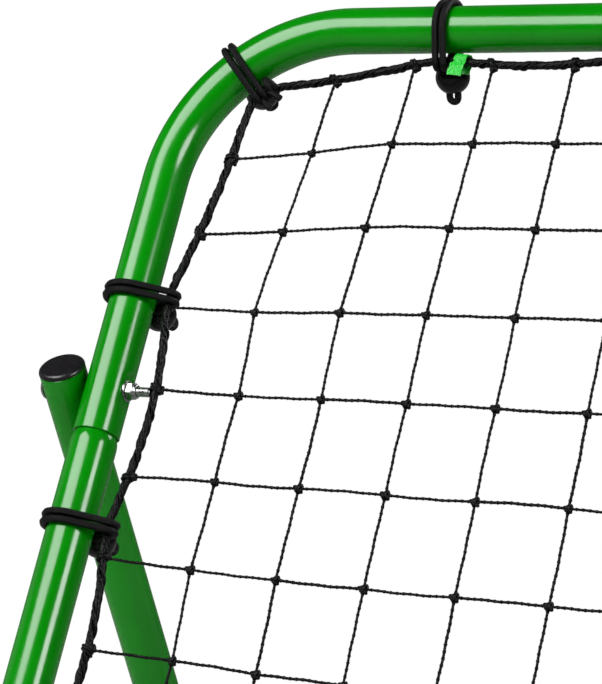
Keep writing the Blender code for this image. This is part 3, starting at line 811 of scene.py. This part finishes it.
def twine(skin, start, end, chance):
    """One laid twine between two knots, with the small waves that a knotted net keeps."""
    run = end - start
    side = run.cross(OUT).normalized()
    bow = chance.uniform(-TWINE_BOW, TWINE_BOW)
    lift = chance.uniform(-TWINE_LIFT, TWINE_LIFT)
    phase = chance.uniform(0.0, math.tau)
    thick = TWINE_R * chance.uniform(*TWINE_THICKS)
    count = max(4, round(run.length / TWINE_STEP))
    path = []
    for k in range(count + 1):
        share = k / count
        arch = math.sin(math.pi * share)
        wave = TWINE_WAVE * math.sin(share * 17.0 + phase) * arch
        path.append(start + run * share + side * (bow * arch + wave) + OUT * (lift * arch))

    def section(k, distance):
        return laid_outline(thick, 2, 4, phase + math.tau * distance / TWINE_PITCH)

    sweep(skin, path, section, OUT)


def knot(skin, centre, across, down, chance, share_of_full=1.0):
    """A sheet bend: two loops of twine that pass round each other and round the strand."""
    outline = circle(TWINE_R * 0.98, KNOT_SIDES)
    size = KNOT_LOOP_R * share_of_full * chance.uniform(0.92, 1.12)
    loops = (
        (across * 0.85 + down * 0.5, OUT, 1.00, 0.0006),
        (down * 0.9 - across * 0.35, OUT, 0.92, -0.0005),
        (across, down, 0.80, 0.0),
    )
    for first, second, share, shift in loops:
        first = first.normalized()
        second = (second + down * chance.uniform(-0.25, 0.25)).normalized()
        normal = first.cross(second).normalized()
        middle = centre + normal * shift * chance.uniform(0.6, 2.2)
        steps = 16
        path = []
        for k in range(steps):
            turn = math.tau * k / steps
            offset = first * math.cos(turn) * 1.18 + second * math.sin(turn) * 0.86
            path.append(middle + offset * size * share)
        sweep(skin, path, outline, normal, loop=True)


def build_twine(looks):
    """The net: a twine between every two neighbouring knots, and the knots."""
    knots = {place: Vector((p.x, p.y, 0.0)) for place, p in net_knots().items()}
    chance = random.Random(41)
    skin = Skin()
    for i in range(1, MESHES):
        for j in range(1, MESHES):
            here = knots[i, j]
            for dx, dy in ((1, 0), (0, 1)):
                twine(skin, here, knots[i + dx, j + dy], chance)
            if i == 1:
                twine(skin, knots[0, j], here, chance)
            if j == 1:
                twine(skin, knots[i, 0], here, chance)
            across = (knots[i + 1, j] - knots[i - 1, j]).normalized()
            down = (knots[i, j - 1] - knots[i, j + 1]).normalized()
            knot(skin, here, across, down, chance)
    skin.piece("net_mesh", FRAME_AXES, "net_frame", looks["net"], "net", 60.0)
    return knots


def near_tie(point, ties):
    """1 under a tie and 0 away from it."""
    gap = min((point - place).length for place in ties)
    return 1.0 - smooth_step((gap - TIE_GRIP) / TIE_GRIP_FADE)


def build_rope(looks, knots):
    """Border rope of loosely laid strands that bunch and part along it, with a hitch where each
    mesh hangs."""
    line, _ = rope_line()
    coarse = rounded([Vector((p.x, p.y, 0.0)) for p in line], 2, loop=True)
    path, length = resample(coarse, ROPE_STEP, loop=True)
    ties = [Vector((*(p + inward * TIES[kind]["rope"]), 0.0)) for kind, p, inward in tie_places()]
    chance = random.Random(19)
    turns = round(length / ROPE_PITCH)
    count = len(path)
    held = [near_tie(point, ties) for point in path]
    sides = [(path[(k + 1) % count] - path[k - 1]).normalized().cross(OUT) for k in range(count)]
    skin = Skin()
    for strand, (thick, reach) in enumerate(ROPE_STRANDS):
        waves = [
            (chance.randint(12, 90), chance.uniform(0.0, 6.3), chance.uniform(0.2, 1.0))
            for _ in range(8)
        ]
        start = math.tau * strand / len(ROPE_STRANDS)
        helix, swell = [], []
        for k, point in enumerate(path):
            share = k / count
            loose = 1.0 - held[k]
            rough = sum(a * math.sin(math.tau * n * share + at) for n, at, a in waves) / 3.0
            swell.append(1.0 + STRAND_SWELL * rough * loose - STRAND_SQUEEZE * held[k])
            turn = start + math.tau * turns * share + STRAND_STRAY * rough * loose
            out = reach * (1.0 + STRAND_PARTING * rough * loose) - STRAND_DRAWN_IN * held[k]
            helix.append(point + (sides[k] * math.cos(turn) + OUT * math.sin(turn)) * out)
        outline = ribbed(thick, 9, 3, thick * 0.16)

        def section(k, distance, outline=outline, swell=swell):
            return [(a * swell[k], b * swell[k]) for a, b in outline]

        sweep(skin, helix, section, OUT, loop=True)
    outline = circle(TWINE_R * 0.95, 7)
    edges = [p for (i, j), p in knots.items() if i in (0, MESHES) or j in (0, MESHES)]
    middle = Vector((0.0, TOP / 2, 0.0))
    for place in edges:
        if min((place - tie).length for tie in ties) > HITCH_FROM_TIE:
            hitch(skin, place, path, outline, (middle - place).normalized(), chance)
    skin.piece("net_border_rope", FRAME_AXES, "net_frame", looks["net"], "net", 60.0)


def hitch(skin, place, path, outline, inward, chance):
    """Where a mesh hangs: slanting turns of twine pulled tight round the rope, and its knot."""
    nearest = min(range(len(path)), key=lambda k: (path[k] - place).length)
    centre = path[nearest]
    tangent = (path[(nearest + 3) % len(path)] - path[nearest - 3]).normalized()
    side = tangent.cross(OUT)
    steps = HITCH_STEPS * HITCH_TURNS
    start = chance.uniform(0.0, math.tau)
    slant = chance.choice((-1.0, 1.0)) * chance.uniform(*HITCH_SLANTS)
    coil = []
    for k in range(steps + 1):
        turn = start + math.tau * HITCH_TURNS * k / steps
        reach = ROPE_R + TWINE_R * chance.uniform(*HITCH_BITES)
        along = HITCH_PITCH * HITCH_TURNS * (k / steps - 0.5) + slant * math.cos(turn)
        round_by = side * math.cos(turn) + OUT * math.sin(turn)
        coil.append(centre + tangent * along + round_by * reach)
    sweep(skin, coil, outline, tangent)
    knot(skin, centre + inward * HITCH_KNOT_BELOW, tangent, -inward, chance, 0.80)


def build_tape(looks):
    """A crumpled strip of tape folded over the rope beside the left tie of the top rail."""
    rope, afters = rope_line()
    beside, away = rope[afters[-1] - 1], rope[afters[-1] - 2]
    along = (away - beside).normalized()
    axes = axes_at(beside + along * (MARKER_FROM_TIE - TIE_STRAIGHT), along)
    line = [
        Vector((0.0, -TAPE_FRONT, TAPE_REACH + 0.0010)),
        Vector((0.0, -TAPE_FRONT / 2, TAPE_REACH + 0.0022)),
    ]
    for k in range(8):
        turn = math.radians(-40 + 26 * k)
        line.append(Vector((0.0, math.sin(turn) * TAPE_REACH, math.cos(turn) * TAPE_REACH)))
    line.append(Vector((0.0, -TAPE_BACK, -TAPE_REACH)))
    path, length = resample(rounded(line, 2), 0.0005)
    chance = random.Random(5)
    ranges = ((250, 1100), (-900, 900), (0, 6.3), (0.4, 1.0))
    folds = [[chance.uniform(*limits) for limits in ranges] for _ in range(8)]

    def crumple(across, distance):
        waves = (
            size * abs(math.sin(across * fx + distance * fy + phase))
            for fx, fy, phase, size in folds
        )
        return TAPE_CRUMPLE * (sum(waves) - TAPE_WAVES_MEAN)

    skin = Skin()
    rings = []
    for k, (point, distance) in enumerate(zip(path, distances(path))):
        tangent = (path[min(k + 1, len(path) - 1)] - path[max(k - 1, 0)]).normalized()
        out = Vector((1.0, 0.0, 0.0)).cross(tangent)
        share = distance / length
        waist = math.exp(-(((share - 0.42) / 0.16) ** 2))  # drawn together over the rope
        width = TAPE_WIDTH * (1.0 - 0.16 * waist)
        row = []
        for c in range(TAPE_COLUMNS + 1):
            across = width * (c / TAPE_COLUMNS - 0.5)
            lift = out * (0.0004 + crumple(across, distance))
            row.append((point + Vector((across, 0.0, 0.0)), lift))
        top = [base + lift + out * TAPE_THICK / 2 for base, lift in row]
        under = [base + lift - out * TAPE_THICK / 2 for base, lift in row[::-1]]
        rings.append(top + under)
    skin.rings(rings)
    look = looks["green_tape"]
    tape = skin.piece("net_marker_tape", axes, "net_frame", look, "green_tape", 70.0)


# ---- materials


class Nodes:
    """A node tree with short calls for the nodes that looks and studio share."""

    def __init__(self, tree):
        self.tree = tree

    def give(self, socket, value):
        if isinstance(value, bpy.types.NodeSocket):
            self.tree.links.new(value, socket)
        else:
            socket.default_value = value

    def node(self, kind, inputs=(), **settings):
        made = self.tree.nodes.new(kind)
        for key, value in settings.items():
            setattr(made, key, value)
        for key, value in dict(inputs).items():
            self.give(made.inputs[key], value)
        return made

    def coordinates(self, kind):
        return self.node("ShaderNodeTexCoord").outputs[kind]

    def lay(self):
        return self.node("ShaderNodeAttribute", attribute_name="lay").outputs["Vector"]

    def noise(self, vector, scale, detail, roughness=0.5):
        inputs = {"Vector": vector, "Scale": scale, "Detail": detail, "Roughness": roughness}
        return self.node("ShaderNodeTexNoise", inputs).outputs["Fac"]

    def stretched(self, vector, scale):
        return self.node("ShaderNodeMapping", {"Vector": vector, "Scale": scale}).outputs["Vector"]

    def span(self, value, low, high, start=0.0, end=1.0, **settings):
        inputs = {"Value": value, "From Min": low, "From Max": high, "To Min": start, "To Max": end}
        return self.node("ShaderNodeMapRange", inputs, **settings).outputs["Result"]

    def mix(self, share, first, second):
        inputs = {0: share, 6: (*first, 1.0), 7: (*second, 1.0)}
        return self.node("ShaderNodeMix", inputs, data_type="RGBA").outputs[2]

    def math(self, operation, first, second):
        made = self.node("ShaderNodeMath", {0: first, 1: second}, operation=operation)
        return made.outputs["Value"]

    def bump(self, height, distance, strength, normal=None):
        inputs = {"Height": height, "Distance": distance, "Strength": strength}
        if normal is not None:
            inputs["Normal"] = normal
        return self.node("ShaderNodeBump", inputs).outputs["Normal"]


class Look(Nodes):
    """A material with its node tree."""

    def __init__(self, name):
        self.material = bpy.data.materials.new(name)
        self.material.use_nodes = True
        super().__init__(self.material.node_tree)

    def shaded(self, colour, roughness, normal, specular=0.5, metallic=0.0):
        """The material, with these inputs of its shader linked or set."""
        shader = self.tree.nodes["Principled BSDF"]
        self.give(shader.inputs["Base Color"], colour)
        self.give(shader.inputs["Roughness"], roughness)
        self.give(shader.inputs["Normal"], normal)
        self.give(shader.inputs["Specular IOR Level"], specular)
        self.give(shader.inputs["Metallic"], metallic)
        return self.material


def paint_look():
    """Glossy green powder coat: faint orange peel, a little drift of colour, dust-fine pinholes."""
    look = Look("green_paint")
    place = look.coordinates("Object")
    drift = look.span(look.noise(place, 9.0, 3.0), 0.35, 0.65)
    colour = look.mix(drift, (0.0003, 0.122, 0.0004), (0.0007, 0.146, 0.0012))
    peel = look.noise(place, 420.0, 1.0)
    fine = look.noise(place, 1700.0, 2.0)
    specks = look.span(look.noise(place, 900.0, 0.0), 0.73, 0.80)
    normal = look.bump(peel, 0.00010, 0.22)
    normal = look.bump(fine, 0.00003, 0.12, normal)
    normal = look.bump(specks, 0.00006, 0.12, normal)
    dull = look.span(look.noise(place, 60.0, 4.0), 0.3, 0.7, 0.13, 0.20)
    return look.shaded(colour, dull, normal)


def zinc_look():
    """Bright zinc plate: cloudy grey, rolled marks and slightly dull patches."""
    look = Look("zinc")
    place = look.coordinates("Object")
    cloud = look.noise(place, 260.0, 4.0, 0.6)
    marks = look.noise(look.stretched(place, (900.0, 60.0, 900.0)), 3.0, 2.0)
    colour = look.mix(look.span(cloud, 0.3, 0.7), (0.34, 0.35, 0.35), (0.62, 0.63, 0.62))
    normal = look.bump(cloud, 0.00008, 0.5)
    normal = look.bump(marks, 0.00004, 0.35, normal)
    dull = look.span(cloud, 0.3, 0.7, 0.20, 0.38)
    return look.shaded(colour, dull, normal, metallic=1.0)


def plastic_look(name, colour, gloss, grain, shine):
    """Moulded black plastic with a fine grain and faint handling marks."""
    look = Look(name)
    place = look.coordinates("Object")
    grey = look.span(look.noise(place, 160.0, 3.0), 0.35, 0.65)
    scuffs = look.noise(look.stretched(place, (40.0, 420.0, 130.0)), 4.0, 3.0)
    tint = look.mix(grey, tuple(0.7 * c for c in colour), colour)
    normal = look.bump(look.noise(place, 2200.0, 2.0), 0.00004, grain)
    normal = look.bump(scuffs, 0.00003, 0.3, normal)
    dull = look.span(scuffs, 0.35, 0.7, gloss, gloss + 0.14)
    return look.shaded(tint, dull, normal, shine)


def elastic_look():
    """Braided sheath with a soft sheen: crossing strands painted lighter on top, painted shade in
    the grooves.
    """
    look = Look("elastic")
    lay = look.lay()
    split = look.node("ShaderNodeSeparateXYZ", {"Vector": lay})
    round_by, along = split.outputs["X"], split.outputs["Y"]
    strands, braid_pitch = 16, 0.0016
    angle = look.math("MULTIPLY", round_by, strands / CORD_R)
    run = look.math("MULTIPLY", along, math.tau / braid_pitch)
    one = look.math("SINE", look.math("ADD", angle, run), 0.0)
    other = look.math("SINE", look.math("SUBTRACT", angle, run), 0.0)
    weave = look.math("MAXIMUM", one, other)
    height = look.span(weave, -1.0, 1.0)
    fibre = look.noise(look.stretched(lay, (6000.0, 900.0, 1.0)), 1.0, 2.0)
    # painted highlight and shade: the colour runs from dark in the braid's grooves to lighter on
    # its strands' tops
    painted_braid_shade = look.mix(height, (0.0002, 0.0002, 0.0003), (0.0034, 0.0031, 0.0036))
    normal = look.bump(height, 0.00022, 0.9)
    normal = look.bump(fibre, 0.00008, 0.5, normal)
    return look.shaded(painted_braid_shade, look.span(fibre, 0.3, 0.7, 0.34, 0.54), normal, 0.14)


def net_look():
    """Black polyethylene twine: streaks of long fibres along each strand painted lighter, a painted
    sheen.
    """
    look = Look("net")
    lay = look.lay()
    place = look.coordinates("Object")
    turned = look.node("ShaderNodeMapping", {"Vector": lay, "Rotation": (0.0, 0.0, 0.55)})
    slant = turned.outputs["Vector"]
    bundle = look.noise(look.stretched(slant, (1500.0, 150.0, 1.0)), 1.0, 2.0)
    fibre = look.noise(look.stretched(slant, (5200.0, 420.0, 1.0)), 1.0, 2.0)
    dust = look.noise(place, 700.0, 3.0)
    # painted sheen: where bundle and fibre streaks meet, the twine's colour is painted lighter (net
    # and rope alike)
    tint = look.math("MULTIPLY", look.span(bundle, 0.46, 0.76), look.span(fibre, 0.3, 0.7))
    colour = look.mix(tint, (0.0002, 0.0002, 0.0003), (0.0190, 0.0188, 0.0195))
    normal = look.bump(bundle, 0.00060, 0.9)
    normal = look.bump(fibre, 0.00030, 0.8, normal)
    return look.shaded(colour, look.span(dust, 0.3, 0.7, 0.16, 0.32), normal, 0.16)


def tape_look():
    """Bright green woven tape, paler where its crinkles stand high."""
    look = Look("green_tape")
    place = look.coordinates("Object")
    crease = look.noise(place, 520.0, 4.0, 0.7)
    colour = look.mix(look.span(crease, 0.45, 0.72), (0.004, 0.27, 0.014), (0.040, 0.46, 0.055))
    normal = look.bump(crease, 0.0005, 0.9)
    return look.shaded(colour, look.span(crease, 0.3, 0.7, 0.24, 0.48), normal)


def floor_look():
    """Plain pale studio floor with a very fine tooth."""
    look = Look("studio_floor")
    tooth = look.noise(look.coordinates("Object"), 700.0, 3.0)
    colour = look.mix(tooth, (0.80, 0.80, 0.80), (0.84, 0.84, 0.84))
    return look.shaded(colour, 0.75, look.bump(tooth, 0.0002, 0.2))


# ---- studio


def build_floor():
    """A round floor just under the object's lowest points."""
    mesh = bpy.data.meshes.new("studio_floor")
    rim = [(a, b, -FLOOR_DROP) for a, b in circle(FLOOR_R, 128)]
    mesh.from_pydata(rim, [], [tuple(range(len(rim)))])
    mesh.materials.append(floor_look())
    floor = bpy.data.objects.new("studio_floor", mesh)
    floor.visible_glossy = False
    bpy.context.scene.collection.objects.link(floor)


def build_lights():
    """Soft lights in front, at the right and behind, each aimed at the seen part of the object."""
    for name, shape, direction, roll, distance, width, height, radiance, in_gloss in LIGHTS:
        light = bpy.data.lights.new(name, "AREA")
        light.shape = shape
        light.size, light.size_y = width, height
        area = width * height * (math.pi / 4 if shape == "DISK" else 1.0)
        light.energy = radiance * area * math.pi
        lamp = bpy.data.objects.new(name, light)
        lamp.visible_camera = False
        lamp.visible_glossy = in_gloss
        way = Vector(direction).normalized()
        turn = (-way).to_track_quat("-Z", "Y").to_matrix().to_4x4()
        roll_turn = Matrix.Rotation(math.radians(roll), 4, "Z")
        lamp.matrix_world = Matrix.Translation(LIGHTS_AIM + way * distance) @ turn @ roll_turn
        bpy.context.scene.collection.objects.link(lamp)


def build_world():
    """Dim studio, a little brighter behind, below and to the left. The camera sees plain white."""
    world = bpy.data.worlds.new("studio")
    bpy.context.scene.world = world
    world.use_nodes = True
    sky = Nodes(world.node_tree)
    split = sky.node("ShaderNodeSeparateXYZ", {"Vector": sky.coordinates("Generated")}).outputs

    def grade(axis, *limits):
        return sky.span(split[axis], *limits, interpolation_type="SMOOTHSTEP")

    behind = grade("Y", 0.2, 0.9, STUDIO_DARK, STUDIO_BEHIND)
    below = grade("Z", 0.0, -0.35, 0.0, STUDIO_BELOW)
    left = grade("X", -0.80, -0.97, 0.0, STUDIO_LEFT)
    seen = sky.node("ShaderNodeLightPath").outputs["Is Camera Ray"]
    strength = sky.math("MAXIMUM", seen, left)
    strength = sky.math("MAXIMUM", strength, sky.math("MAXIMUM", behind, below))
    background = sky.tree.nodes["Background"]
    sky.give(background.inputs["Color"], (1.0, 1.0, 1.0, 1.0))
    sky.give(background.inputs["Strength"], strength)


def build_camera():
    data = bpy.data.cameras.new("camera")
    data.lens, data.sensor_width = LENS_MM, SENSOR_MM
    data.clip_start, data.clip_end = 0.05, 30.0
    camera = bpy.data.objects.new("camera", data)
    forward = Vector(CAMERA_FORWARD).normalized()
    right = Vector(CAMERA_RIGHT).normalized()
    up = right.cross(forward)
    turn = Matrix((right, up, -forward)).transposed().to_4x4()
    camera.matrix_world = Matrix.Translation(CAMERA_AT) @ turn
    bpy.context.scene.collection.objects.link(camera)
    bpy.context.scene.camera = camera


def main():
    for obj in list(bpy.data.objects):
        bpy.data.objects.remove(obj)  # whatever the start-up scene holds
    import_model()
    looks = {
        "green_paint": paint_look(),
        "zinc": zinc_look(),
        "cap_plastic": plastic_look("cap_plastic", (0.0040, 0.0034, 0.0044), 0.27, 0.35, 0.50),
        "ball_plastic": plastic_look("ball_plastic", (0.0014, 0.0013, 0.0015), 0.09, 0.20, 0.30),
        "elastic": elastic_look(),
        "net": net_look(),
        "green_tape": tape_look(),
    }
    build_camera()
    build_world()
    build_lights()
    build_floor()
    build_tubes(looks)
    build_hardware(looks)
    build_ties(looks)
    knots = build_twine(looks)
    build_rope(looks, knots)
    build_tape(looks)
    bpy.context.scene.view_settings.view_transform = "Standard"
    bpy.context.view_layer.update()


main()
